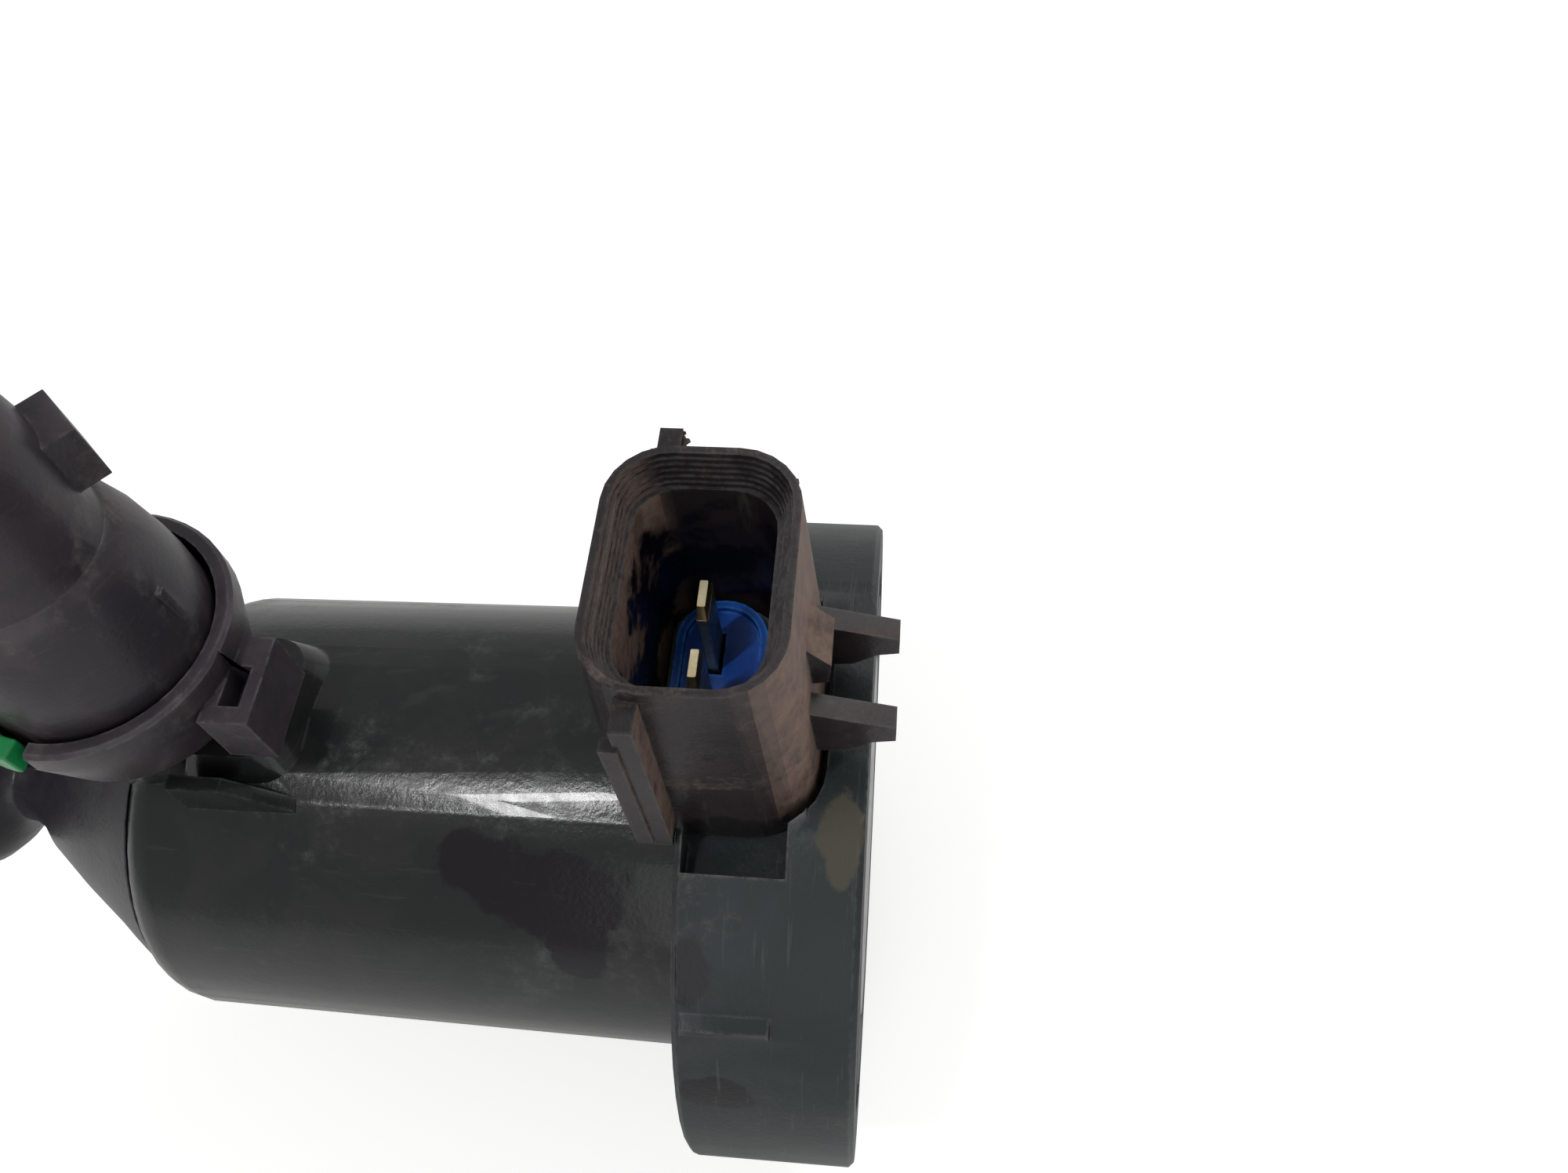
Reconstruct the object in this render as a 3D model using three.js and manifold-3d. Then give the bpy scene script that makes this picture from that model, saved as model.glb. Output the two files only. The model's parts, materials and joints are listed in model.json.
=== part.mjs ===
// Solenoid fuel injector with a flanged cap, a two-blade connector and a swivelling feed port.
// Millimetres. The body axis is X: the flange's sealing face lies in the plane x = 0 and the
// outlet points to -X. The connector and the feed port rise along +Z.
import * as THREE from 'three';
import { mergeVertices } from 'three/addons/utils/BufferGeometryUtils.js';
import Module from 'manifold-3d';

const wasm = await Module();
wasm.setup();

// Driving dimensions
const FIT = 0.3;                     // gap between pieces that sit on each other
const FLANGE_RADIUS = 26.2;
const FLANGE_LENGTH = 12.5;
const SHELL_RADIUS_RIGHT = 18.45;
const SHELL_RADIUS_LEFT = 17.6;
const SHELL_WALL = 1.7;
const SHELL_RIGHT_X = -3.3;
const SHOULDER_X = -54.0;
const SHELL_END_X = -56.5;
const SPIGOT_RADIUS = 12.3;
const NECK_X = -75.5;
const NECK_RADIUS = 3.45;
const BELL_X = -84.0;
const BELL_RADIUS = 8.6;
const CONNECTOR_X = -10.5;
const RIM_Z = 41.95;
const RIM_HALF_X = 6.08;
const RIM_HALF_Y = 8.48;
const RIM_WALL = 0.55;
const CAVITY_WALL = 1.45;
const LEAD_IN_STEPS = 6;
const LEAD_IN_DEPTH = 2.4;
const SHROUD_FLARE = [1.2, 1.04];       // bottom size over rim size, along X and Y
const SHROUD_BOTTOM_Z = 21.5;
const CAVITY_FLOOR_Z = 26.1;
const BLADE_PITCH = 5.0;
const BLADE_WIDTH = 2.8;
const BLADE_THICKNESS = 0.8;
const BLADE_TIP_Z = 34.65;
const BLADE_X = -10.94;
const PORT_X = -54.5;
const PORT_Y = 0.6;
const COLLAR_TOP_Z = 29.3;
const COLLAR_BOTTOM_Z = 21.0;
const COLLAR_RADIUS = 9.9;
const PLUG_RADIUS = 8.3;
const TUBE_RADIUS = 6.15;
const TUBE_TOP_Z = 51.5;
const NEEDLE_RADIUS = 1.6;
const ARMATURE_RADIUS = 5.8;
const POLE_RADIUS = 6.0;
const COIL_LEFT_X = -43.7;
const COIL_RIGHT_X = -14.3;
const AIR_GAP = 1.0;
const POLE_LEFT_X = -30.0;

const smooth = 48;                   // facets round the outer pieces
const coarse = 16;                   // facets round the inner pieces

// Geometry helpers

// One closed body with shared corners and its faces pointing out.
function closed(geometry) {
  const bare = geometry.index ? geometry.toNonIndexed() : geometry.clone();
  for (const name of Object.keys(bare.attributes)) {
    if (name !== 'position') bare.deleteAttribute(name);
  }
  const merged = mergeVertices(bare, 1e-4);
  const at = merged.attributes.position;
  const corner = [new THREE.Vector3(), new THREE.Vector3(), new THREE.Vector3()];
  const kept = [];
  let volume = 0;
  for (let i = 0; i < merged.index.count; i += 3) {
    const tri = [0, 1, 2].map((k) => merged.index.getX(i + k));
    if (new Set(tri).size < 3) continue;
    tri.forEach((v, k) => corner[k].fromBufferAttribute(at, v));
    volume += corner[0].dot(corner[1].clone().cross(corner[2]));
    kept.push(...tri);
  }
  if (volume < 0) kept.reverse();
  merged.setIndex(kept);
  return merged;
}

function toSolid(geometry) {
  const mesh = closed(geometry);
  return new wasm.Manifold(new wasm.Mesh({
    numProp: 3,
    vertProperties: new Float32Array(mesh.attributes.position.array),
    triVerts: new Uint32Array(mesh.index.array),
  }));
}

function fromSolid(solid) {
  const mesh = solid.getMesh();
  const geometry = new THREE.BufferGeometry();
  geometry.setAttribute('position', new THREE.BufferAttribute(new Float32Array(mesh.vertProperties), 3));
  geometry.setIndex(Array.from(mesh.triVerts));
  return geometry;
}

function join(...shapes) {
  return fromSolid(shapes.map(toSolid).reduce((sum, one) => sum.add(one)));
}

function cut(shape, ...tools) {
  return fromSolid(tools.map(toSolid).reduce((left, tool) => left.subtract(tool), toSolid(shape)));
}

// Solid turned about the X axis from a closed outline of [x, radius] points.
function turnedX(outline, facets = coarse) {
  const points = outline.map(([x, r]) => new THREE.Vector2(r, x));
  points.push(points[0].clone());
  return closed(new THREE.LatheGeometry(points, facets).rotateZ(-Math.PI / 2));
}

// Solid turned about a vertical axis through (x, y) from a closed outline of [radius, z] points.
function turnedZ(outline, x, y, facets = coarse) {
  const points = outline.map(([r, z]) => new THREE.Vector2(r, z));
  points.push(points[0].clone());
  return closed(new THREE.LatheGeometry(points, facets).rotateX(Math.PI / 2).translate(x, y, 0));
}

function ringX(left, right, inner, outer, facets = coarse) {
  return turnedX([[left, inner], [right, inner], [right, outer], [left, outer]], facets);
}

function rodX(left, right, radius, facets = coarse) {
  return turnedX([[left, 0], [right, 0], [right, radius], [left, radius]], facets);
}

function rodZ(bottom, top, radius, x, y, facets = coarse) {
  return turnedZ([[0, bottom], [0, top], [radius, top], [radius, bottom]], x, y, facets);
}

function box(x0, x1, y0, y1, z0, z1) {
  return new THREE.BoxGeometry(x1 - x0, y1 - y0, z1 - z0)
    .translate((x0 + x1) / 2, (y0 + y1) / 2, (z0 + z1) / 2);
}

// Straight prism along Y of an outline in X and Z.
function prismY(outline, y0, y1) {
  const shape = new THREE.Shape(outline.map(([x, z]) => new THREE.Vector2(x, z)));
  const flat = new THREE.ExtrudeGeometry(shape, { depth: y1 - y0, bevelEnabled: false });
  return flat.rotateX(Math.PI / 2).translate(0, y1, 0);
}

// Upright rounded rectangle or stadium whose size changes evenly from bottom to top.
function taperedColumn(halfX, halfY, radius, bottom, top, bottomScale, x, y, arcSteps = 6) {
  const shape = new THREE.Shape();
  const corners = [[1, 1, 0], [-1, 1, 1], [-1, -1, 2], [1, -1, 3]];
  for (const [sx, sy, quarter] of corners) {
    for (let i = 0; i <= arcSteps; i += 1) {
      const turn = (quarter + i / arcSteps) * Math.PI / 2;
      const px = sx * (halfX - radius) + radius * Math.cos(turn);
      const py = sy * (halfY - radius) + radius * Math.sin(turn);
      if (quarter === 0 && i === 0) shape.moveTo(px, py);
      else shape.lineTo(px, py);
    }
  }
  const geometry = new THREE.ExtrudeGeometry(shape, { depth: top - bottom, bevelEnabled: false });
  const at = geometry.attributes.position;
  for (let i = 0; i < at.count; i += 1) {
    const drop = 1 - at.getZ(i) / (top - bottom);
    at.setX(i, at.getX(i) * (1 + (bottomScale[0] - 1) * drop));
    at.setY(i, at.getY(i) * (1 + (bottomScale[1] - 1) * drop));
  }
  return geometry.translate(x, y, bottom);
}

const object = new THREE.Group();

function add(name, geometry, color, roughness, metalness) {
  const mesh = new THREE.Mesh(geometry, new THREE.MeshStandardMaterial({ color, roughness, metalness }));
  mesh.name = name;
  object.add(mesh);
}

const plastic = (name, geometry, color = 0x1d201f, roughness = 0.5) => add(name, geometry, color, roughness, 0);
const metal = (name, geometry, color = 0x9a9c9e, roughness = 0.35) => add(name, geometry, color, roughness, 1);
const rubber = (name, geometry, color = 0x101010) => add(name, geometry, color, 0.8, 0);

// Body shell: tapered tube with a rounded left shoulder and a neck for the feed port
function bodyShell() {
  const innerRight = SHELL_RADIUS_RIGHT - SHELL_WALL;
  const innerLeft = SHELL_RADIUS_LEFT - SHELL_WALL;
  const endOpening = SPIGOT_RADIUS + FIT;
  const shell = turnedX([
    [SHELL_RIGHT_X, innerRight], [SHELL_RIGHT_X, SHELL_RADIUS_RIGHT], [SHOULDER_X, SHELL_RADIUS_LEFT],
    [SHOULDER_X - 1.2, SHELL_RADIUS_LEFT - 0.3], [SHOULDER_X - 2.1, SHELL_RADIUS_LEFT - 0.8],
    [SHELL_END_X, SHELL_RADIUS_LEFT - 1.4], [SHELL_END_X, endOpening],
    [SHOULDER_X + 0.6, endOpening], [SHOULDER_X + 0.6, innerLeft],
  ], smooth);
  const neck = rodZ(11.5, COLLAR_BOTTOM_Z - FIT, 6.4, PORT_X, PORT_Y, 40);
  const foot = taperedColumn(4.4, 5.0, 2.6, 13.5, COLLAR_BOTTOM_Z - 1.5, [1.6, 1.45], PORT_X + 6.5, PORT_Y, 6);
  const rib = prismY([
    [PORT_X + 3.5, 12.5], [PORT_X + 12, 12.5], [PORT_X + 12, 16.6], [PORT_X + 7.5, COLLAR_BOTTOM_Z - 1.2],
    [PORT_X + 3.5, COLLAR_BOTTOM_Z - 1.2],
  ], PORT_Y - 7.9, PORT_Y - 6.8);
  const hollow = rodX(SHOULDER_X + 0.6, SHELL_RIGHT_X - 1, innerLeft, smooth);
  const noseRoom = turnedX([
    [SHELL_END_X - 30, 0], [SHOULDER_X + 0.6, 0], [SHOULDER_X + 0.6, endOpening],
    [SHELL_END_X, endOpening], [SHELL_END_X, SHELL_RADIUS_LEFT - 1.0], [SHELL_END_X - 30, SHELL_RADIUS_LEFT - 1.0],
  ], smooth);
  const feedBore = rodZ(8, COLLAR_BOTTOM_Z + 2, 2.3, PORT_X + 3.9, PORT_Y);
  return cut(join(shell, neck, foot, rib), hollow, noseRoom, feedBore);
}
plastic('body_shell', bodyShell(), 0x22272a, 0.35);

// Nose: spigot inside the shell, cone, narrow neck and a flared spray guard
const needleBore = NEEDLE_RADIUS + 0.6;
const guideRadius = 5.9;
const seatRadius = 3.6;
plastic('nose_housing', turnedX([
  [SHOULDER_X + 0.3, guideRadius + FIT], [SHOULDER_X + 0.3, SPIGOT_RADIUS],
  [SHELL_END_X - FIT, SPIGOT_RADIUS], [SHELL_END_X - FIT, 16.1],
  [-58.9, 14.7], [-61.1, 13.1], [-65.7, 10.0], [-70.2, 6.7], [-72.2, 4.75], [-74.0, 3.75],
  [NECK_X, NECK_RADIUS], [-76.2, 3.9], [-76.9, 5.1], [-77.8, 6.5], [-79.2, 7.6], [-81.0, 8.3],
  [BELL_X, BELL_RADIUS], [BELL_X, BELL_RADIUS - 1.1], [-81.6, 6.4], [-81.2, seatRadius + 0.4],
  [-79.3, seatRadius + 0.4], [-79.3, needleBore], [-62, needleBore], [-62, guideRadius + FIT],
], smooth), 0x1c1a20, 0.45);
metal('valve_seat', turnedX([
  [-81.3, 0.5], [-79.6, 0.5], [-79.6, seatRadius], [-81.3, seatRadius],
]));
metal('spray_plate', ringX(-81.9, -81.6, 0.35, seatRadius));
rubber('seat_oring', ringX(-80.8, -80.1, seatRadius + 0.05, seatRadius + 0.35));
metal('needle_guide', ringX(-61.7, -55, NEEDLE_RADIUS + 0.4, guideRadius));

// Needle, armature, spring and adjuster along the body axis
const armatureRight = POLE_LEFT_X - AIR_GAP;
metal('valve_needle', turnedX([
  [-79.2, 0], [-34, 0], [-34, NEEDLE_RADIUS], [-77.8, NEEDLE_RADIUS], [-79.2, 0.3],
]), 0xb9bbbd);
metal('armature', turnedX([
  [-43.2, NEEDLE_RADIUS + FIT], [-33.7, NEEDLE_RADIUS + FIT], [-33.7, 0.8], [-32.8, 0.8], [-32.8, 2.6],
  [armatureRight, 2.6], [armatureRight, ARMATURE_RADIUS], [-43.2, ARMATURE_RADIUS],
]), 0x84868a);
metal('pole_core', ringX(POLE_LEFT_X, -8.4, 2.6, POLE_RADIUS), 0x8f9194);

function springCoil() {
  const turns = 6;
  const left = -32.3;
  const right = -20.2;
  class Helix extends THREE.Curve {
    getPoint(t, target = new THREE.Vector3()) {
      const turn = t * turns * 2 * Math.PI;
      return target.set(left + (right - left) * t, 1.95 * Math.cos(turn), 1.95 * Math.sin(turn));
    }
  }
  const wire = new THREE.Shape();
  wire.absarc(0, 0, 0.3, 0, 2 * Math.PI);
  const options = { steps: turns * 10, bevelEnabled: false, extrudePath: new Helix(), curveSegments: 3 };
  return closed(new THREE.ExtrudeGeometry(wire, options));
}
metal('return_spring', springCoil(), 0xc0c2c4);
metal('spring_adjuster', ringX(-19.6, -12, 1.0, 2.3), 0xa8a48f);

// Solenoid: bobbin, winding and the iron round them
const bobbinBore = POLE_RADIUS + FIT;
add('coil_bobbin', turnedX([
  [COIL_LEFT_X, bobbinBore], [COIL_RIGHT_X, bobbinBore], [COIL_RIGHT_X, 13.4], [COIL_RIGHT_X - 1.5, 13.4],
  [COIL_RIGHT_X - 1.5, 7.4], [COIL_LEFT_X + 1.5, 7.4], [COIL_LEFT_X + 1.5, 13.4], [COIL_LEFT_X, 13.4],
]), 0x1a4f9c, 0.5, 0);
metal('coil_winding', ringX(COIL_LEFT_X + 1.8, COIL_RIGHT_X - 1.8, 7.7, 12.9), 0xb5653a);
metal('magnetic_yoke', ringX(COIL_LEFT_X, COIL_RIGHT_X, 13.8, 15.3, 40), 0x77797c);
metal('yoke_plate_left', ringX(COIL_LEFT_X - 2.2, COIL_LEFT_X - FIT, ARMATURE_RADIUS + 0.4, 15.3, 40), 0x77797c);
metal('yoke_plate_right', ringX(COIL_RIGHT_X + FIT, COIL_RIGHT_X + 2.2, bobbinBore, 15.3, 40), 0x77797c);

// Flange cap: stepped disc that carries the shell, with the pocket under the connector
const capBore = SHELL_RADIUS_RIGHT + FIT;
const plateRadius = 15.2;
const stepRadius = 23.4;
function flangeCap() {
  const cap = turnedX([
    [SHELL_RIGHT_X + FIT, plateRadius + FIT], [-0.3, plateRadius + FIT], [0, plateRadius + 0.6],
    [0, FLANGE_RADIUS - 0.4], [-0.4, FLANGE_RADIUS], [-9.7, FLANGE_RADIUS], [-10.1, FLANGE_RADIUS - 0.4],
    [-10.1, stepRadius], [-12.2, stepRadius], [-FLANGE_LENGTH, stepRadius - 0.4], [-FLANGE_LENGTH, capBore],
    [SHELL_RIGHT_X + FIT, capBore],
  ], smooth);
  // except low down, the cap is full size over its whole length
  const upper = cut(
    turnedX([[-FLANGE_LENGTH, stepRadius - 1.5], [-9, stepRadius - 1.5], [-9, FLANGE_RADIUS],
      [-12.1, FLANGE_RADIUS], [-FLANGE_LENGTH, FLANGE_RADIUS - 0.4]], smooth),
    box(-20, 5, -40, 40, -40, -7),
  );
  const lowBlock = box(-11.8, -5.8, -20.9, -19.5, 14, 17.2);
  const pocket = taperedColumn(
    RIM_HALF_X * SHROUD_FLARE[0] + 0.4, RIM_HALF_Y * SHROUD_FLARE[1] + 0.6, 4.6, 21.1, 40, [1, 1], CONNECTOR_X, 0,
  );
  const pocketFront = box(-12.0, -5.1, -12.1, 0, 21.1, 40);
  const rightStep = box(-3.9, 1, -10.5, 12.4, 24.6, 40);
  const sealGroove = ringX(-1.4, 1, 20.2, 22.4, smooth);
  const leadSlot = box(-12.1, -9.7, -4.6, 4.4, 17, 22);
  return cut(join(cap, upper, lowBlock), pocket, pocketFront, rightStep, sealGroove, leadSlot);
}
plastic('flange_cap', flangeCap(), 0x26302f, 0.55);
rubber('face_seal', ringX(-1.1, -0.1, 20.5, 22.1, 40));

// End plate that closes the cap, held by three countersunk screws
const screwCircle = 11.2;
const screwRadius = 1.9;
const screwTurns = [90, 210, 330].map((degrees) => degrees * Math.PI / 180);
const screwPlaces = screwTurns.map((turn) => [screwCircle * Math.cos(turn), screwCircle * Math.sin(turn)]);
const endPlate = cut(
  turnedX([[-2.8, 0], [0, 0], [0, plateRadius - 0.3], [-0.3, plateRadius], [-2.8, plateRadius]], 40),
  ...screwPlaces.map(([y, z]) => rodX(-4, 1, screwRadius + FIT).translate(0, y, z)),
);
metal('end_plate', endPlate, 0x8c8f92, 0.4);
screwPlaces.forEach(([y, z], i) => {
  const slot = box(-0.8, 1, y - 1.3, y + 1.3, z - 0.3, z + 0.3);
  metal(`cover_screw_${i + 1}`, cut(rodX(-6.2, -0.15, screwRadius, 16).translate(0, y, z), slot), 0x6f7275);
});
rubber('shell_oring', ringX(-8.2, -6.8, 15.05, SHELL_RADIUS_RIGHT - SHELL_WALL - 0.35, 32));

// Connector shroud with its rib, key tab, guide fins and latch ramp
function connectorShroud() {
  const column = taperedColumn(
    RIM_HALF_X, RIM_HALF_Y, 4.1, SHROUD_BOTTOM_Z, RIM_Z, SHROUD_FLARE, CONNECTOR_X, 0,
  );
  const foot = taperedColumn(1.7, 5.6, 1, 19.4, SHROUD_BOTTOM_Z + 1, [1, 1], -14.9, 0, 3);
  const rib = box(-14.0, -12.6, -10.4, -7.4, 23.4, 40.9);
  const ledge = box(-14.9, -13.8, -10.6, -9.7, 24, 38.8);
  const keyTab = box(-14.2, -12.7, 7, 11.6, 30, 39.7);
  const fins = [-3.3, 3.1].map((y) => prismY(
    [[-5.2, 31.6], [-5.2, 25.6], [-1.4, 26.2], [0.2, 27.6], [1.7, 28.0], [1.7, 29.8]],
    y - 0.8, y + 0.8,
  ));
  const ramp = prismY([[-5, 36.4], [-5, 30.4], [-2.7, 31.2], [-2.5, 33.4]], -1.7, 1.7);
  const cavity = taperedColumn(
    RIM_HALF_X - CAVITY_WALL, RIM_HALF_Y - CAVITY_WALL, 3.0, CAVITY_FLOOR_Z - 1.7, RIM_Z + 1,
    [0.86, 0.97], CONNECTOR_X, 0,
  );
  const leadIn = [];
  for (let i = 0; i < LEAD_IN_STEPS; i += 1) {
    const wall = RIM_WALL + (CAVITY_WALL - RIM_WALL) * i / LEAD_IN_STEPS;
    leadIn.push(taperedColumn(
      RIM_HALF_X - wall, RIM_HALF_Y - wall, 4.0 - 0.9 * wall,
      RIM_Z - LEAD_IN_DEPTH * (i + 1) / LEAD_IN_STEPS, RIM_Z + 1, [1, 1], CONNECTOR_X, 0,
    ));
  }
  const bladeRoom = taperedColumn(2.1, 5.1, 1.5, SHROUD_BOTTOM_Z - 3, CAVITY_FLOOR_Z, [1, 1], CONNECTOR_X, 0);
  return cut(join(column, foot, rib, ledge, keyTab, ...fins, ramp), cavity, ...leadIn, bladeRoom);
}
plastic('connector_shroud', connectorShroud(), 0x2b2429, 0.6);

const bladePlaces = [BLADE_PITCH / 2 - 0.1, -BLADE_PITCH / 2 - 0.1];
const bladeSlots = bladePlaces.map((y) => box(
  BLADE_X - BLADE_THICKNESS / 2 - 0.2, BLADE_X + BLADE_THICKNESS / 2 + 0.2,
  y - BLADE_WIDTH / 2 - 0.2, y + BLADE_WIDTH / 2 + 0.2, 15, 30,
));
plastic('terminal_carrier', cut(
  taperedColumn(3.65, 6.4, 2.3, CAVITY_FLOOR_Z - 1.4, CAVITY_FLOOR_Z - 0.2, [1, 1], CONNECTOR_X, 0, 4),
  ...bladeSlots,
), 0x4a5650, 0.7);
function terminalSeal() {
  const bottom = CAVITY_FLOOR_Z + 0.1;
  const cup = taperedColumn(3.2, 6.4, 3.15, bottom, bottom + 0.85, [1, 1], CONNECTOR_X, 0, 8);
  const dish = taperedColumn(2.6, 5.8, 2.55, bottom + 0.35, bottom + 3, [1, 1], CONNECTOR_X, 0, 8);
  return cut(cup, dish, ...bladeSlots);
}
rubber('terminal_seal', terminalSeal(), 0x1c5fd0);
bladePlaces.forEach((y, i) => {
  const half = BLADE_WIDTH / 2;
  const shoulder = BLADE_TIP_Z - 1.1;
  const blade = taperedColumn(
    BLADE_THICKNESS / 2, half, 0.1, SHROUD_BOTTOM_Z - 1.4, shoulder, [1, 1], BLADE_X, y, 1,
  );
  const tip = taperedColumn(0.27, half - 0.43, 0.06, shoulder - 0.01, BLADE_TIP_Z, [1.45, 1.43], BLADE_X, y, 1);
  metal(`terminal_blade_${i + 1}`, join(blade, tip), 0xb9ad86, 0.35);
});

// Feed port: snap coupling on the shell's neck, swivelling tube, filter, seal and green lock clip
const clipStart = 176;
const clipEnd = 262;
const degree = Math.PI / 180;
function sector(inner, outer, from, to, bottom, top) {
  const shape = new THREE.Shape();
  shape.absarc(0, 0, outer, from * degree, to * degree, false);
  shape.absarc(0, 0, inner, to * degree, from * degree, true);
  const flat = new THREE.ExtrudeGeometry(shape, {
    depth: top - bottom, bevelEnabled: false, curveSegments: 12,
  });
  return flat.translate(PORT_X, PORT_Y, bottom);
}
function portCoupling() {
  const cup = turnedZ([
    [3.2, COLLAR_BOTTOM_Z], [7.4, COLLAR_BOTTOM_Z], [8.3, COLLAR_BOTTOM_Z + 0.6], [COLLAR_RADIUS, COLLAR_TOP_Z - 2],
    [COLLAR_RADIUS, COLLAR_TOP_Z - 0.3], [COLLAR_RADIUS - 0.3, COLLAR_TOP_Z], [PLUG_RADIUS + 0.5, COLLAR_TOP_Z],
    [PLUG_RADIUS + 0.4, COLLAR_TOP_Z - 0.5], [PLUG_RADIUS + 0.4, COLLAR_TOP_Z - 4.4],
    [7.2, COLLAR_BOTTOM_Z + 1.8], [3.2, COLLAR_BOTTOM_Z + 1.8],
  ], PORT_X, PORT_Y, smooth);
  const hook = box(PORT_X + 8.6, PORT_X + 12.2, PORT_Y - 5.6, PORT_Y + 1.2, COLLAR_BOTTOM_Z + 0.4, COLLAR_TOP_Z - 2.4);
  const window = box(PORT_X + 9.7, PORT_X + 11.2, PORT_Y - 4.3, PORT_Y - 1.2, COLLAR_BOTTOM_Z + 3.6, COLLAR_TOP_Z);
  const clipRoom = sector(PLUG_RADIUS + 0.2, 13, clipStart - 3, clipEnd + 3, COLLAR_TOP_Z - 2.1, COLLAR_TOP_Z + 1);
  return cut(join(cup, hook), window, clipRoom);
}
plastic('port_coupling', portCoupling(), 0x29272c, 0.5);

function portTube() {
  const plugBottom = COLLAR_BOTTOM_Z + 2.2;
  const tube = turnedZ([
    [3.0, plugBottom], [6.2, plugBottom], [6.8, plugBottom + 0.6], [6.8, COLLAR_TOP_Z - 2.7],
    [PLUG_RADIUS, COLLAR_TOP_Z - 2.2], [PLUG_RADIUS, COLLAR_TOP_Z + 1.4], [8.15, 33.0], [7.75, 36.0], [7.1, 38.4],
    [6.55, 39.4], [6.3, 39.6], [TUBE_RADIUS, 41.0], [TUBE_RADIUS, 47.6], [5.95, 49.3], [5.5, 50.7],
    [4.9, TUBE_TOP_Z], [3.9, TUBE_TOP_Z], [3.9, 44.0], [3.0, 43.0],
  ], PORT_X, PORT_Y, smooth);
  const tab = box(4.4, 7.9, -2.2, 2.2, 41.8, 46.2).rotateZ(48 * degree).translate(PORT_X, PORT_Y, 0);
  const seam = box(PORT_X + 7.8, PORT_X + 8.25, PORT_Y - 0.3, PORT_Y + 0.3, COLLAR_TOP_Z + 1, 35);
  return join(tube, tab, seam);
}
plastic('port_tube', portTube(), 0x2a262c, 0.45);
rubber('port_oring', turnedZ([
  [7.0, 25.4], [7.4, 25.1], [8.1, 25.1], [8.5, 25.4], [8.5, 25.9], [8.1, 26.3], [7.4, 26.3], [7.0, 25.9],
], PORT_X, PORT_Y, 32));
plastic('inlet_filter', turnedZ([
  [0, 31], [0, 42.4], [2.6, 42.4], [2.6, 41.4], [1.9, 41.2], [1.7, 31],
], PORT_X, PORT_Y), 0xb8b49c, 0.8);
plastic('lock_clip', sector(
  PLUG_RADIUS + 0.55, COLLAR_RADIUS + 0.5, clipStart, clipEnd, COLLAR_TOP_Z - 1.7, COLLAR_TOP_Z + 0.6,
), 0x1f9a4a, 0.45);

export default object;
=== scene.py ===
import json
import math

import bmesh
import bpy
import numpy as np
from mathutils import Matrix, Vector


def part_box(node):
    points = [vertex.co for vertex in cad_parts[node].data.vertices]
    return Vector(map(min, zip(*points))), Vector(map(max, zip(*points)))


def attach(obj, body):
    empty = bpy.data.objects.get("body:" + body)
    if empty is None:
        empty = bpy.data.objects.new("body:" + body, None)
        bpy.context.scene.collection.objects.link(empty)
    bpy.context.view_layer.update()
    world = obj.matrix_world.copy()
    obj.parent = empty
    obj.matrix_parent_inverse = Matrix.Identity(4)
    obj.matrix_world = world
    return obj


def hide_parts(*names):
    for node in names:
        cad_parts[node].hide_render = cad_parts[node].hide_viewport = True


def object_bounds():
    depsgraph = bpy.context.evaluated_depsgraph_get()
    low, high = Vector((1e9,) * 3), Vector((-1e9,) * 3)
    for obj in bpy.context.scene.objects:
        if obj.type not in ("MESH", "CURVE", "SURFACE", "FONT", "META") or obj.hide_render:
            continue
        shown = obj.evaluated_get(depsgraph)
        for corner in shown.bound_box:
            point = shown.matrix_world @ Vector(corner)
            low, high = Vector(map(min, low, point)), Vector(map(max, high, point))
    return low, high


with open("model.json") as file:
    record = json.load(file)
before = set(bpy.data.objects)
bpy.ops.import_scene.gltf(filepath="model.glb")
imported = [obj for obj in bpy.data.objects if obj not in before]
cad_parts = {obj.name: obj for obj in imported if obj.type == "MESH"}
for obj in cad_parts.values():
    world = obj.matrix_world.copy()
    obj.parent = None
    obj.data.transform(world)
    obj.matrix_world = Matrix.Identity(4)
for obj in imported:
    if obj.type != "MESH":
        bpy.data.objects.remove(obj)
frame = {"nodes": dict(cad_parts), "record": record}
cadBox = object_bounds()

mm = 0.001


def placeObject(name, data):
    obj = bpy.data.objects.new(name, data)
    bpy.context.scene.collection.objects.link(obj)
    return obj


# Camera, with its directions as unit vectors

cameraSetup = {
    "place": (1.12, -37.25, 101.64),      # mm
    "right": (0.9952, 0.0825, -0.0530),
    "up": (-0.0431, 0.8535, 0.5193),
    "back": (0.0881, -0.5145, 0.8529),
    "lens": 28.4,
    "sensorWidth": 36,
    "nearClip": 0.004,
    "farClip": 20,
}


def makeCamera(setup):
    data = bpy.data.cameras.new("camera")
    data.lens = setup["lens"]
    data.sensor_width = setup["sensorWidth"]
    data.clip_start = setup["nearClip"]
    data.clip_end = setup["farClip"]
    camera = placeObject("camera", data)
    columns = Matrix((setup["right"], setup["up"], setup["back"])).transposed()
    camera.matrix_world = Matrix.Translation(Vector(setup["place"]) * mm) @ columns.to_4x4()
    bpy.context.scene.camera = camera


makeCamera(cameraSetup)
print("camera made")


# Helpers for shader nodes

def newGroup(name, inputs, outputs):
    tree = bpy.data.node_groups.new(name, "ShaderNodeTree")
    for socket, kind, value in inputs:
        made = tree.interface.new_socket(socket, in_out="INPUT", socket_type=kind)
        made.default_value = value
    for socket, kind in outputs:
        tree.interface.new_socket(socket, in_out="OUTPUT", socket_type=kind)
    return tree, tree.nodes.new("NodeGroupInput"), tree.nodes.new("NodeGroupOutput")


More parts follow.
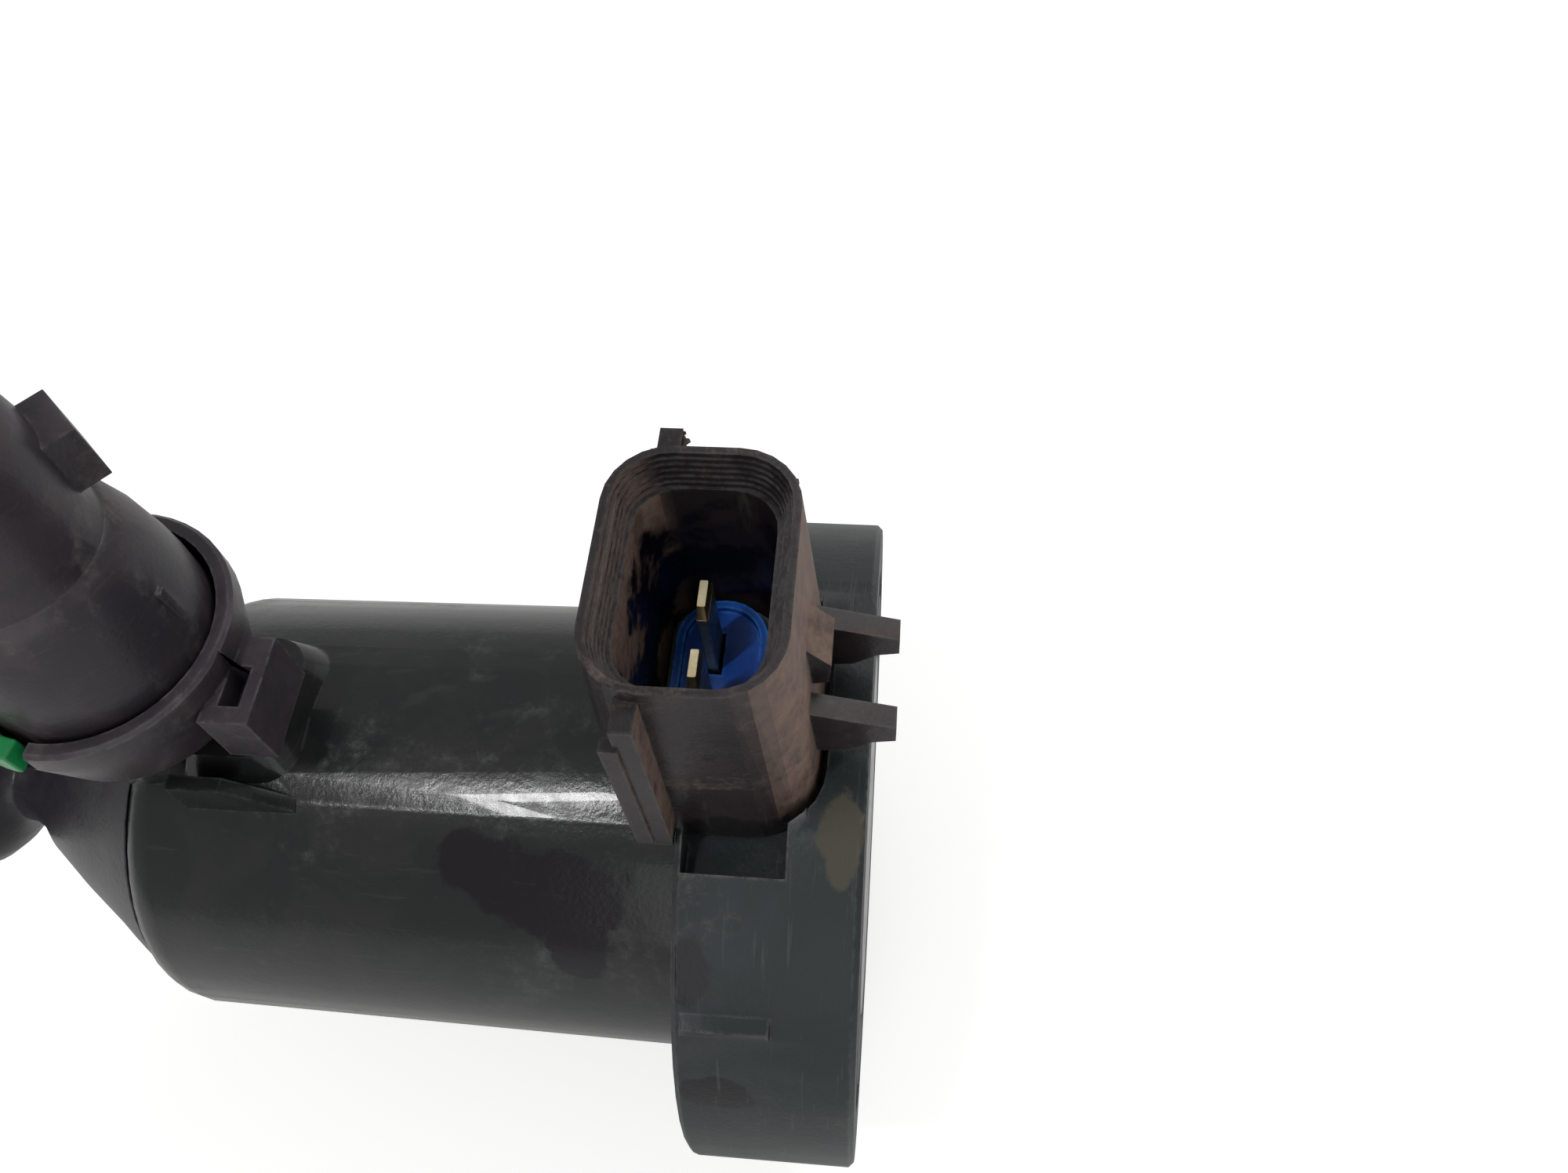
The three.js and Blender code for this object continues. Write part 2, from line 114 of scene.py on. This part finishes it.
def mathNode(tree, operation, first, second):
    node = tree.nodes.new("ShaderNodeMath")
    node.operation = operation
    for i, value in enumerate((first, second)):
        if isinstance(value, (int, float)):
            node.inputs[i].default_value = value
        else:
            tree.links.new(value, node.inputs[i])
    return node.outputs[0]


def vectorNode(tree, operation, first, second=None, output="Vector"):
    node = tree.nodes.new("ShaderNodeVectorMath")
    node.operation = operation
    tree.links.new(first, node.inputs[0])
    if second is not None:
        tree.links.new(second, node.inputs[1])
    return node.outputs[output]


def noiseNode(tree, vector, scale, detail=6, roughness=0.6, distortion=0.0):
    node = tree.nodes.new("ShaderNodeTexNoise")
    node.inputs["Detail"].default_value = detail
    node.inputs["Roughness"].default_value = roughness
    node.inputs["Distortion"].default_value = distortion
    if isinstance(scale, (int, float)):
        node.inputs["Scale"].default_value = scale
    else:
        tree.links.new(scale, node.inputs["Scale"])
    tree.links.new(vector, node.inputs["Vector"])
    return node.outputs["Fac"]


def rangeNode(tree, value, low, high, outLow=0.0, outHigh=1.0):
    node = tree.nodes.new("ShaderNodeMapRange")
    node.interpolation_type = "SMOOTHSTEP"
    tree.links.new(value, node.inputs["Value"])
    for socket, number in (("From Min", low), ("From Max", high), ("To Min", outLow), ("To Max", outHigh)):
        if isinstance(number, (int, float)):
            node.inputs[socket].default_value = number
        else:
            tree.links.new(number, node.inputs[socket])
    return node.outputs["Result"]


# Floor and light

studio = {
    "floorGap": 0.0004,
    "floorHalf": 3.0,
    "floorColour": (0.75, 0.75, 0.74, 1),
    "floorRoughness": 0.9,
    "floorGlow": 0.5,                     # keeps the floor pale where it is seen directly
    "lightStrength": 0.42,                # what the room gives the object
    "seenStrength": 1.0,                  # what shows behind it
}
# name: (place in m, aimed at, (width, height) in m, power in W)
lamps = {
    "windowLamp": ((-0.155, -0.142, 0.514), (-0.023, -0.006, 0.017), (0.026, 0.11), 0.75),
    "skyLamp": ((0.25, 0.5, 0.6), (-0.03, 0, 0.01), (0.6, 0.6), 2.4),
    "frontLamp": ((0.1, -0.7, 0.35), (-0.03, 0, 0.01), (0.7, 0.7), 1.6),
}


def makeStudio():
    world = bpy.data.worlds.new("world")
    bpy.context.scene.world = world
    world.use_nodes = True
    backdrop = world.node_tree.nodes["Background"]
    backdrop.inputs["Color"].default_value = (1, 1, 1, 1)
    lightPath = world.node_tree.nodes.new("ShaderNodeLightPath")
    strength = rangeNode(world.node_tree, lightPath.outputs["Is Camera Ray"], 0, 1,
                         studio["lightStrength"], studio["seenStrength"])
    world.node_tree.links.new(strength, backdrop.inputs["Strength"])
    for name, (place, target, size, power) in lamps.items():
        data = bpy.data.lights.new(name, "AREA")
        data.shape = "RECTANGLE"
        data.size, data.size_y = size
        data.energy = power
        lamp = placeObject(name, data)
        lamp.location = place
        lamp.rotation_euler = (Vector(target) - Vector(place)).to_track_quat("-Z", "Y").to_euler()
    half = studio["floorHalf"]
    z = cadBox[0][2] - studio["floorGap"]
    mesh = bpy.data.meshes.new("floor")
    corners = [(-half, -half, z), (half, -half, z), (half, half, z), (-half, half, z)]
    mesh.from_pydata(corners, [], [(0, 1, 2, 3)])
    floor = placeObject("floor", mesh)
    material = bpy.data.materials.new("floorPaint")
    material.use_nodes = True
    shader = material.node_tree.nodes["Principled BSDF"]
    shader.inputs["Base Color"].default_value = studio["floorColour"]
    shader.inputs["Roughness"].default_value = studio["floorRoughness"]
    shader.inputs["Emission Color"].default_value = (1, 1, 1, 1)
    floorPath = material.node_tree.nodes.new("ShaderNodeLightPath")
    glow = rangeNode(material.node_tree, floorPath.outputs["Is Camera Ray"], 0, 1, 0, studio["floorGlow"])
    material.node_tree.links.new(glow, shader.inputs["Emission Strength"])
    mesh.materials.append(material)


makeStudio()
bpy.context.scene.view_settings.view_transform = "Standard"
print("studio made")


# Shader groups that several materials share

def makeDustFilm():
    # cloudy patches at two scales, denser on faces that look up
    tree, source, result = newGroup("dustFilm", [
        ("Vector", "NodeSocketVector", (0, 0, 0)), ("Scale", "NodeSocketFloat", 90.0),
        ("Cover", "NodeSocketFloat", 0.5)], [("Mask", "NodeSocketFloat")])
    fine = mathNode(tree, "MULTIPLY", source.outputs["Scale"], 9.0)
    broad = noiseNode(tree, source.outputs["Vector"], source.outputs["Scale"], 5, 0.6, 0.8)
    specks = noiseNode(tree, source.outputs["Vector"], fine, 4, 0.75)
    geometry = tree.nodes.new("ShaderNodeNewGeometry")
    split = tree.nodes.new("ShaderNodeSeparateXYZ")
    tree.links.new(geometry.outputs["Normal"], split.inputs[0])
    upward = rangeNode(tree, split.outputs["Z"], -0.6, 1.0, 0.55, 1.0)
    broadShare = mathNode(tree, "MULTIPLY", broad, 0.62)
    mixed = mathNode(tree, "ADD", broadShare, mathNode(tree, "MULTIPLY", specks, 0.38))
    low = mathNode(tree, "SUBTRACT", 0.72, mathNode(tree, "MULTIPLY", source.outputs["Cover"], 0.42))
    high = mathNode(tree, "ADD", low, 0.2)
    film = mathNode(tree, "MULTIPLY", rangeNode(tree, mixed, low, high), upward)
    tree.links.new(film, result.inputs["Mask"])
    return tree


def makeEdgeRub():
    # where the rounded normal leaves the true one, broken up by noise
    tree, source, result = newGroup("edgeRub", [
        ("Vector", "NodeSocketVector", (0, 0, 0)), ("Radius", "NodeSocketFloat", 0.0004)],
        [("Mask", "NodeSocketFloat")])
    bevel = tree.nodes.new("ShaderNodeBevel")
    bevel.samples = 4
    tree.links.new(source.outputs["Radius"], bevel.inputs["Radius"])
    geometry = tree.nodes.new("ShaderNodeNewGeometry")
    dot = vectorNode(tree, "DOT_PRODUCT", bevel.outputs["Normal"], geometry.outputs["Normal"], "Value")
    edge = rangeNode(tree, dot, 0.995, 0.86)
    broken = rangeNode(tree, noiseNode(tree, source.outputs["Vector"], 900, 4, 0.7), 0.38, 0.62)
    tree.links.new(mathNode(tree, "MULTIPLY", edge, broken), result.inputs["Mask"])
    return tree


def makeScratches():
    # noise drawn out along one direction and thinned to narrow bright lines
    tree, source, result = newGroup("scratches", [
        ("Vector", "NodeSocketVector", (0, 0, 0)), ("Stretch", "NodeSocketVector", (3000, 200, 200)),
        ("Amount", "NodeSocketFloat", 0.5)], [("Mask", "NodeSocketFloat")])
    scaled = vectorNode(tree, "MULTIPLY", source.outputs["Vector"], source.outputs["Stretch"])
    lines = rangeNode(tree, noiseNode(tree, scaled, 1.0, 3, 0.6), 0.6, 0.72)
    tree.links.new(mathNode(tree, "MULTIPLY", lines, source.outputs["Amount"]), result.inputs["Mask"])
    return tree


def makeStainAndShadePatch():
    # a patch of given centre and half-size with a ragged edge; used for real stains and for painted shade
    tree, source, result = newGroup("stainAndShadePatch", [
        ("Vector", "NodeSocketVector", (0, 0, 0)), ("Centre", "NodeSocketVector", (0, 0, 0)),
        ("Size", "NodeSocketVector", (0.01, 0.01, 0.01)), ("Ragged", "NodeSocketFloat", 0.9)],
        [("Mask", "NodeSocketFloat")])
    apart = vectorNode(tree, "SUBTRACT", source.outputs["Vector"], source.outputs["Centre"])
    shared = vectorNode(tree, "DIVIDE", apart, source.outputs["Size"])
    length = vectorNode(tree, "LENGTH", shared, output="Value")
    centred = mathNode(tree, "SUBTRACT", noiseNode(tree, source.outputs["Vector"], 260, 5, 0.6), 0.5)
    wobble = mathNode(tree, "MULTIPLY", centred, source.outputs["Ragged"])
    reach = mathNode(tree, "ADD", length, mathNode(tree, "MULTIPLY", wobble, 2.0))
    tree.links.new(rangeNode(tree, reach, 1.05, 0.8), result.inputs["Mask"])
    return tree


def makeSideDust():
    # powder on the faces that turn towards one direction, thinned by noise
    tree, source, result = newGroup("sideDust", [
        ("Vector", "NodeSocketVector", (0, 0, 0)), ("Direction", "NodeSocketVector", (1, 0, 0)),
        ("Amount", "NodeSocketFloat", 1.0)], [("Mask", "NodeSocketFloat")])
    geometry = tree.nodes.new("ShaderNodeNewGeometry")
    dot = vectorNode(tree, "DOT_PRODUCT", geometry.outputs["Normal"], source.outputs["Direction"], "Value")
    facing = rangeNode(tree, dot, 0.35, 0.95)
    powder = rangeNode(tree, noiseNode(tree, source.outputs["Vector"], 700, 6, 0.75), 0.3, 0.62)
    thinned = mathNode(tree, "ADD", mathNode(tree, "MULTIPLY", powder, 0.6), 0.4)
    spread = mathNode(tree, "MULTIPLY", facing, thinned)
    tree.links.new(mathNode(tree, "MULTIPLY", spread, source.outputs["Amount"]), result.inputs["Mask"])
    return tree


groups = {
    "dust": makeDustFilm(),
    "side": makeSideDust(),
    "edge": makeEdgeRub(),
    "scratch": makeScratches(),
    "stain": makeStainAndShadePatch(),
}


# Materials

def placeGroup(tree, group, vector, **values):
    node = tree.nodes.new("ShaderNodeGroup")
    node.node_tree = groups[group]
    tree.links.new(vector, node.inputs["Vector"])
    for socket, value in values.items():
        node.inputs[socket].default_value = value
    return node.outputs["Mask"]


def mixColour(tree, mask, under, over):
    node = tree.nodes.new("ShaderNodeMix")
    node.data_type = "RGBA"
    tree.links.new(mask, node.inputs[0])
    for socket, value in ((6, under), (7, over)):
        if isinstance(value, tuple):
            node.inputs[socket].default_value = (*value, 1)
        else:
            tree.links.new(value, node.inputs[socket])
    return node.outputs[2]


def mixNumber(tree, mask, under, over):
    node = tree.nodes.new("ShaderNodeMix")
    node.data_type = "FLOAT"
    tree.links.new(mask, node.inputs[0])
    for socket, value in ((2, under), (3, over)):
        if isinstance(value, (int, float)):
            node.inputs[socket].default_value = value
        else:
            tree.links.new(value, node.inputs[socket])
    return node.outputs[0]


plasticDefaults = {
    "base": (0.02, 0.022, 0.023),
    "cloud": (0.035, 0.036, 0.036),       # second tone of the bare surface
    "dust": (0.12, 0.11, 0.095),
    "cover": 0.35,
    "dustScale": 90.0,
    "edge": (0.16, 0.16, 0.16),
    "edgeAmount": 0.5,
    "edgeRadius": 0.0004,
    "scratch": (0.14, 0.14, 0.14),
    "scratchAmount": 0.25,
    "stretch": (200, 200, 3000),
    "roughClean": 0.35,
    "roughDusty": 0.7,
    "roughPowder": 0.85,
    "grain": 0.00004,                      # bump height in m
    "grainScale": 2600,
    "stains": [],                          # real stains and patches of painted shade: (centre mm, half-size mm, colour, roughness)
    "coat": 0.0,
    "shine": 0.32,                         # specular level
    "sideDust": None,                      # (direction, amount, colour)
}


def plastic(name, **changes):
    s = {**plasticDefaults, **changes}
    material = bpy.data.materials.new(name)
    material.use_nodes = True
    tree = material.node_tree
    shader = tree.nodes["Principled BSDF"]
    where = tree.nodes.new("ShaderNodeTexCoord").outputs["Object"]
    clouds = rangeNode(tree, noiseNode(tree, where, 120, 5, 0.6, 0.5), 0.4, 0.65)
    colour = mixColour(tree, clouds, s["base"], s["cloud"])
    dust = placeGroup(tree, "dust", where, Scale=s["dustScale"], Cover=s["cover"])
    colour = mixColour(tree, dust, colour, s["dust"])
    rough = mixNumber(tree, dust, s["roughClean"], s["roughDusty"])
    if s["sideDust"]:
        direction, amount, tone = s["sideDust"]
        powder = placeGroup(tree, "side", where, Direction=direction, Amount=amount)
        colour = mixColour(tree, powder, colour, tone)
        rough = mixNumber(tree, powder, rough, s["roughPowder"])
    # real stains and patches of painted shade, each laid over its ragged patch
    for centre, size, tone, gloss in s["stains"]:
        middle, half = [v * mm for v in centre], [v * mm for v in size]
        mask = placeGroup(tree, "stain", where, Centre=middle, Size=half)
        colour = mixColour(tree, mask, colour, tone)
        rough = mixNumber(tree, mask, rough, gloss)
    lines = placeGroup(tree, "scratch", where, Stretch=s["stretch"], Amount=s["scratchAmount"])
    colour = mixColour(tree, lines, colour, s["scratch"])
    worn = placeGroup(tree, "edge", where, Radius=s["edgeRadius"])
    edge = mathNode(tree, "MULTIPLY", worn, s["edgeAmount"])
    colour = mixColour(tree, edge, colour, s["edge"])
    tree.links.new(colour, shader.inputs["Base Color"])
    tree.links.new(rough, shader.inputs["Roughness"])
    shader.inputs["Coat Weight"].default_value = s["coat"]
    shader.inputs["Specular IOR Level"].default_value = s["shine"]
    bump = tree.nodes.new("ShaderNodeBump")
    bump.inputs["Distance"].default_value = s["grain"]
    bump.inputs["Strength"].default_value = 0.6
    height = mathNode(tree, "ADD", noiseNode(tree, where, s["grainScale"], 3, 0.6), mathNode(
        tree, "MULTIPLY", noiseNode(tree, where, 300, 4, 0.6), 2.0))
    height = mathNode(tree, "SUBTRACT", height, mathNode(tree, "MULTIPLY", lines, 1.2))
    tree.links.new(height, bump.inputs["Height"])
    tree.links.new(bump.outputs["Normal"], shader.inputs["Normal"])
    return material


metalDefaults = {
    "base": (0.5, 0.51, 0.52),
    "tarnish": (0.32, 0.3, 0.27),
    "edge": (0.7, 0.7, 0.7),
    "rough": 0.32,
    "roughWorn": 0.5,
    "stretch": (3000, 300, 300),
    "scratchAmount": 0.6,
    "roughScratch": 0.6,
    "edgeRadius": 0.0002,
    "scratchDepth": 0.00003,               # bump height in m
}


def metal(name, **changes):
    s = {**metalDefaults, **changes}
    material = bpy.data.materials.new(name)
    material.use_nodes = True
    tree = material.node_tree
    shader = tree.nodes["Principled BSDF"]
    where = tree.nodes.new("ShaderNodeTexCoord").outputs["Object"]
    patches = rangeNode(tree, noiseNode(tree, where, 350, 5, 0.65), 0.45, 0.68)
    lines = placeGroup(tree, "scratch", where, Stretch=s["stretch"], Amount=s["scratchAmount"])
    edge = placeGroup(tree, "edge", where, Radius=s["edgeRadius"])
    colour = mixColour(tree, edge, mixColour(tree, patches, s["base"], s["tarnish"]), s["edge"])
    tree.links.new(colour, shader.inputs["Base Color"])
    rough = mixNumber(tree, patches, s["rough"], s["roughWorn"])
    tree.links.new(mixNumber(tree, lines, rough, s["roughScratch"]), shader.inputs["Roughness"])
    shader.inputs["Metallic"].default_value = 1.0
    bump = tree.nodes.new("ShaderNodeBump")
    bump.inputs["Distance"].default_value = s["scratchDepth"]
    bump.inputs["Strength"].default_value = 0.5
    tree.links.new(lines, bump.inputs["Height"])
    tree.links.new(bump.outputs["Normal"], shader.inputs["Normal"])
    return material


wetBlack = (0.006, 0.004, 0.007)
materials = {
    "shell_plastic": plastic(
        "shellPlastic", base=(0.012, 0.015, 0.015), cloud=(0.021, 0.019, 0.02), dust=(0.05, 0.056, 0.05),
        cover=0.5, dustScale=70.0, roughClean=0.2, roughDusty=0.42, scratchAmount=0.06, edgeAmount=0.3,
        grain=0.000025, coat=0.12, stains=[
            ((-22.9, -11.4, 14.1), (5.6, 3.2, 3.6), wetBlack, 0.18),
            ((-28.4, -9.6, 15.0), (3.6, 2.6, 2.6), wetBlack, 0.2),
            ((-20.6, -14.6, 10.8), (2.6, 2.0, 3.2), wetBlack, 0.2),
        ]),
    "nose_plastic": plastic(
        "nosePlastic", base=(0.013, 0.010, 0.015), cloud=(0.022, 0.02, 0.024), dust=(0.06, 0.055, 0.05),
        cover=0.3, roughClean=0.32, roughDusty=0.5, scratchAmount=0.05, edgeAmount=0.25),
    "flange_plastic": plastic(
        "flangePlastic", base=(0.014, 0.02, 0.021), cloud=(0.022, 0.027, 0.03), dust=(0.085, 0.085, 0.07),
        cover=0.42, dustScale=110.0, roughClean=0.42, roughDusty=0.62, scratchAmount=0.3,
        scratch=(0.075, 0.085, 0.085), stretch=(2600, 160, 160), stains=[
            ((-11.2, -17.6, 19.4), (1.3, 2.4, 3.0), wetBlack, 0.22),
            ((-9.6, -23.6, 11.5), (2.8, 1.0, 2.4), wetBlack, 0.3),
            ((-1.6, -9.6, 24.3), (1.5, 3.6, 2.0), (0.062, 0.056, 0.042), 0.7),
        ]),
    "connector_plastic": plastic(
        "connectorPlastic", base=(0.014, 0.011, 0.013), cloud=(0.026, 0.019, 0.022),
        dust=(0.13, 0.092, 0.078), cover=0.42, dustScale=130.0, roughClean=0.36, roughDusty=0.7,
        scratchAmount=0.16, scratch=(0.14, 0.125, 0.115), stretch=(700, 700, 120),
        edge=(0.09, 0.085, 0.08), edgeAmount=0.5, sideDust=((0.98, -0.1, 0.15), 0.75, (0.27, 0.18, 0.14)),
        stains=[
            # painted shade: near-black patch that darkens the shroud's cavity below its lead-in, where shade
            # falls in the recess
            ((-10.5, 0, 31.5), (5.9, 8.3, 9.0), (0.004, 0.004, 0.006), 0.35),
            # painted shade: dark patch where the shroud's front foot meets the flange, shade between the two
            # parts
            ((-10.5, -9.5, 22.0), (6.5, 3.0, 2.6), (0.008, 0.007, 0.008), 0.4),
        ]),
    "carrier_plastic": plastic(
        "carrierPlastic", base=(0.05, 0.07, 0.065), cloud=(0.08, 0.1, 0.09), cover=0.4),
    "seal_rubber": plastic(
        "sealSilicone", base=(0.004, 0.05, 0.3), cloud=(0.006, 0.08, 0.42), dust=(0.04, 0.2, 0.55), cover=0.2,
        roughClean=0.3, roughDusty=0.5, scratchAmount=0.0, edge=(0.04, 0.3, 0.85), edgeAmount=0.9,
        grain=0.00001),
    "black_rubber": plastic("blackRubber", base=(0.01, 0.01, 0.01), roughClean=0.55, cover=0.2),
    "tin_plate": metal(
        "tinPlate", base=(0.62, 0.58, 0.4), tarnish=(0.5, 0.38, 0.2), edge=(0.5, 0.24, 0.1),
        stretch=(400, 400, 3000)),
    "port_plastic": plastic(
        "portPlastic", base=(0.03, 0.026, 0.032), cloud=(0.048, 0.038, 0.044), dust=(0.12, 0.105, 0.1),
        cover=0.42, dustScale=80.0, roughClean=0.33, roughDusty=0.55, scratchAmount=0.08,
        stretch=(300, 300, 2200)),
    "clip_plastic": plastic(
        "clipPlastic", base=(0.006, 0.2, 0.05), cloud=(0.01, 0.27, 0.08), dust=(0.2, 0.4, 0.25), cover=0.2,
        roughClean=0.25, scratchAmount=0.05),
    "steel": metal("machinedSteel"),
    "soft_iron": metal("softIron", base=(0.2, 0.2, 0.21), tarnish=(0.12, 0.11, 0.11), rough=0.45),
    "copper": metal("copperWire", base=(0.72, 0.3, 0.14), tarnish=(0.5, 0.2, 0.1), rough=0.3),
    "bobbin_plastic": plastic("bobbinPlastic", base=(0.02, 0.09, 0.32), cloud=(0.03, 0.12, 0.38), cover=0.15),
    "filter_mesh": plastic("filterMesh", base=(0.4, 0.37, 0.3), cloud=(0.5, 0.46, 0.38), grain=0.0001),
}
slotOf = {row["node"]: row["material_slot"] for row in frame["record"]["subparts"]}
for node, obj in frame["nodes"].items():
    obj.data.materials.clear()
    obj.data.materials.append(materials[slotOf[node]])
print("materials made")


# Pieces

def finishPiece(obj, body, slotName, *nodes):
    obj.data.materials.clear()
    obj.data.materials.append(materials[slotName])
    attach(obj, body)
    if nodes:
        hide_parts(*nodes)


def gridMesh(name, points, closeRows=False, closeColumns=True):
    # points is rows x columns x 3; neighbours are joined by quads, wrapping where asked
    rows, columns = points.shape[:2]
    index = np.arange(rows * columns).reshape(rows, columns)
    if closeColumns:
        index = np.concatenate([index, index[:, :1]], axis=1)
    if closeRows:
        index = np.concatenate([index, index[:1]], axis=0)
    quads = np.stack([index[:-1, :-1], index[:-1, 1:], index[1:, 1:], index[1:, :-1]], axis=-1).reshape(-1, 4)
    mesh = bpy.data.meshes.new(name)
    mesh.from_pydata(points.reshape(-1, 3).tolist(), [], quads.tolist())
    work = bmesh.new()
    work.from_mesh(mesh)
    bmesh.ops.remove_doubles(work, verts=work.verts, dist=1e-7)
    bmesh.ops.recalc_face_normals(work, faces=work.faces)
    work.to_mesh(mesh)
    work.free()
    mesh.polygons.foreach_set("use_smooth", [True] * len(mesh.polygons))
    return placeObject(name, mesh)


skinSetup = {"weld": 0.000002, "flatDegrees": 0.8, "sharpDegrees": 34, "bevelSegments": 3}


def refined(node, body, bevelWidth):
    # a merged copy of the node with its hard edges rounded and its turned faces shaded smooth
    mesh = frame["nodes"][node].data.copy()
    mesh.name = node + "_skin"
    flat, sharp = math.radians(skinSetup["flatDegrees"]), math.radians(skinSetup["sharpDegrees"])
    work = bmesh.new()
    work.from_mesh(mesh)
    bmesh.ops.remove_doubles(work, verts=work.verts, dist=skinSetup["weld"])
    bmesh.ops.dissolve_limit(work, angle_limit=flat, verts=work.verts, edges=work.edges)
    bmesh.ops.recalc_face_normals(work, faces=work.faces)
    work.to_mesh(mesh)
    work.free()
    mesh.polygons.foreach_set("use_smooth", [True] * len(mesh.polygons))
    mesh.set_sharp_from_angle(angle=sharp)
    obj = placeObject(node + "_skin", mesh)
    bevel = obj.modifiers.new("roundedEdges", "BEVEL")
    bevel.width = bevelWidth
    bevel.segments = skinSetup["bevelSegments"]
    bevel.limit_method = "ANGLE"
    bevel.angle_limit = sharp
    bevel.harden_normals = True
    finishPiece(obj, body, slotOf[node], node)


# node: (body, radius of its rounded edges in m)
skins = {
    "body_shell": ("housing", 0.0002),
    "nose_housing": ("housing", 0.0002),
    "flange_cap": ("housing", 0.00022),
    "end_plate": ("housing", 0.00015),
    "connector_shroud": ("housing", 0.0002),
    "terminal_carrier": ("housing", 0.0001),
    "terminal_seal": ("housing", 0.00012),
    "terminal_blade_1": ("housing", 0.00006),
    "terminal_blade_2": ("housing", 0.00006),
    "port_coupling": ("housing", 0.00018),
    "port_tube": ("port", 0.00018),
    "lock_clip": ("clip", 0.0002),
}
for node, (body, width) in skins.items():
    refined(node, body, width)
print("skins made")

# node: (body, axis, radial half-width of the section in mm)
rubberRings = {
    "face_seal": ("housing", 0, 0.8),
    "shell_oring": ("housing", 0, 0.65),
    "seat_oring": ("housing", 0, 0.15),
    "port_oring": ("port", 2, 0.72),
}
ringSteps = {"round": 96, "section": 16}


def rubberRing(node, body, axis, halfWidth):
    # torus: an oval section of the node's thickness carried round the node's axis
    low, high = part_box(node)
    centre = np.array((low + high) / 2)
    across = [i for i in range(3) if i != axis]
    ringRadius = (high[across[0]] - low[across[0]]) / 2 - halfWidth * mm
    halfThick = (high[axis] - low[axis]) / 2
    turn = np.linspace(0, 2 * np.pi, ringSteps["round"], endpoint=False)[:, None]
    section = np.linspace(0, 2 * np.pi, ringSteps["section"], endpoint=False)[None, :]
    reach = ringRadius + halfWidth * mm * np.cos(section)
    points = np.zeros((ringSteps["round"], ringSteps["section"], 3))
    points[..., across[0]] = reach * np.cos(turn)
    points[..., across[1]] = reach * np.sin(turn)
    points[..., axis] = halfThick * np.sin(section)
    finishPiece(gridMesh(node + "_ring", points + centre, closeRows=True), body, slotOf[node], node)


for node, (body, axis, halfWidth) in rubberRings.items():
    rubberRing(node, body, axis, halfWidth)

# mm; depth is how far the groove between two turns goes in, as a share of the wire
winding = {"inner": 7.7, "outer": 12.7, "wire": 0.5, "depth": 0.3,
           "fullness": 0.7, "stepsPerTurn": 6, "round": 64}


def coilWinding():
    # tube whose outside is a row of half circles, one for each turn of wire in the top layer
    low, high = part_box("coil_winding")
    length = (high[0] - low[0]) / mm
    turns = int(length / winding["wire"])
    along = np.linspace(0, 1, turns * winding["stepsPerTurn"] + 1)
    depth = winding["wire"] * winding["depth"]
    bulge = np.abs(np.sin(np.pi * turns * along)) ** winding["fullness"] * depth
    radii = np.concatenate([winding["outer"] + bulge - depth, [winding["inner"]] * 2])
    places = np.concatenate([along, [1, 0]]) * length * mm + low[0]
    angle = np.linspace(0, 2 * np.pi, winding["round"], endpoint=False)[None, :]
    points = np.stack([places[:, None] + 0 * angle, radii[:, None] * mm * np.cos(angle),
                       radii[:, None] * mm * np.sin(angle)], axis=-1)
    finishPiece(gridMesh("copperTurns", points, closeRows=True), "housing", "copper", "coil_winding")


spring = {"wireRadius": 0.3, "turns": 6, "steps": 240, "section": 12}      # mm


def returnSpring():
    # round wire carried along a helix about the X axis, closed to a point at each end
    low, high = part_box("return_spring")
    wire, steps = spring["wireRadius"] * mm, spring["steps"]
    coil = (high[1] - low[1]) / 2 - wire
    t = np.linspace(0, 1, steps)
    turn = 2 * np.pi * spring["turns"] * t
    along = low[0] + wire + (high[0] - low[0] - 2 * wire) * t
    centre = np.stack([along, coil * np.cos(turn), coil * np.sin(turn)], 1)
    outward = np.stack([0 * t, np.cos(turn), np.sin(turn)], 1)
    angle = np.linspace(0, 2 * np.pi, spring["section"], endpoint=False)
    thick = np.full((steps, 1, 1), wire)
    thick[[0, -1]] = 0
    ring = outward[:, None, :] * np.cos(angle)[None, :, None]
    ring = ring + np.array([1, 0, 0]) * np.sin(angle)[None, :, None]
    wireMesh = gridMesh("springWire", centre[:, None, :] + thick * ring)
    finishPiece(wireMesh, "housing", "steel", "return_spring")


coilWinding()
returnSpring()

burrs = {"thickness": 0.00012, "seed": 7, "steps": 28}
# name: (start, end, how far the sheet stands out), all in mm
flashPlaces = {
    "rimFlash": ((-5.9, 7.3, 41.7), (-4.6, 5.2, 41.7), (0.45, 0.35, 0.05)),
    "tabFlash": ((-12.7, 9.4, 39.5), (-12.7, 11.5, 39.5), (0.7, 0.1, 0.1)),
    "rimFlashLeft": ((-14.6, 7.6, 41.7), (-13.2, 8.4, 41.7), (-0.3, 0.3, 0.05)),
}


def mouldFlash(name, start, end, lift):
    # ragged thin sheet that stands on the line from start to end, its top edge set by seeded noise
    rng = np.random.default_rng(burrs["seed"])
    t = np.linspace(0, 1, burrs["steps"])[:, None]
    base = np.array(start) * (1 - t) + np.array(end) * t
    smoothed = np.convolve(rng.random(burrs["steps"] + 2), [0.25, 0.5, 0.25], "valid")[:, None]
    ragged = smoothed * np.sin(np.pi * t) ** 0.5
    rows = [base + np.array(lift) * ragged * level for level in (0, 0.5, 1)]
    obj = gridMesh(name, np.stack(rows) * mm, closeColumns=False)
    solid = obj.modifiers.new("thickness", "SOLIDIFY")
    solid.thickness = burrs["thickness"]
    solid.offset = 0
    finishPiece(obj, "housing", "connector_plastic")


for name, (start, end, lift) in flashPlaces.items():
    mouldFlash(name, start, end, lift)
print("rings, winding, spring and mould flash made")
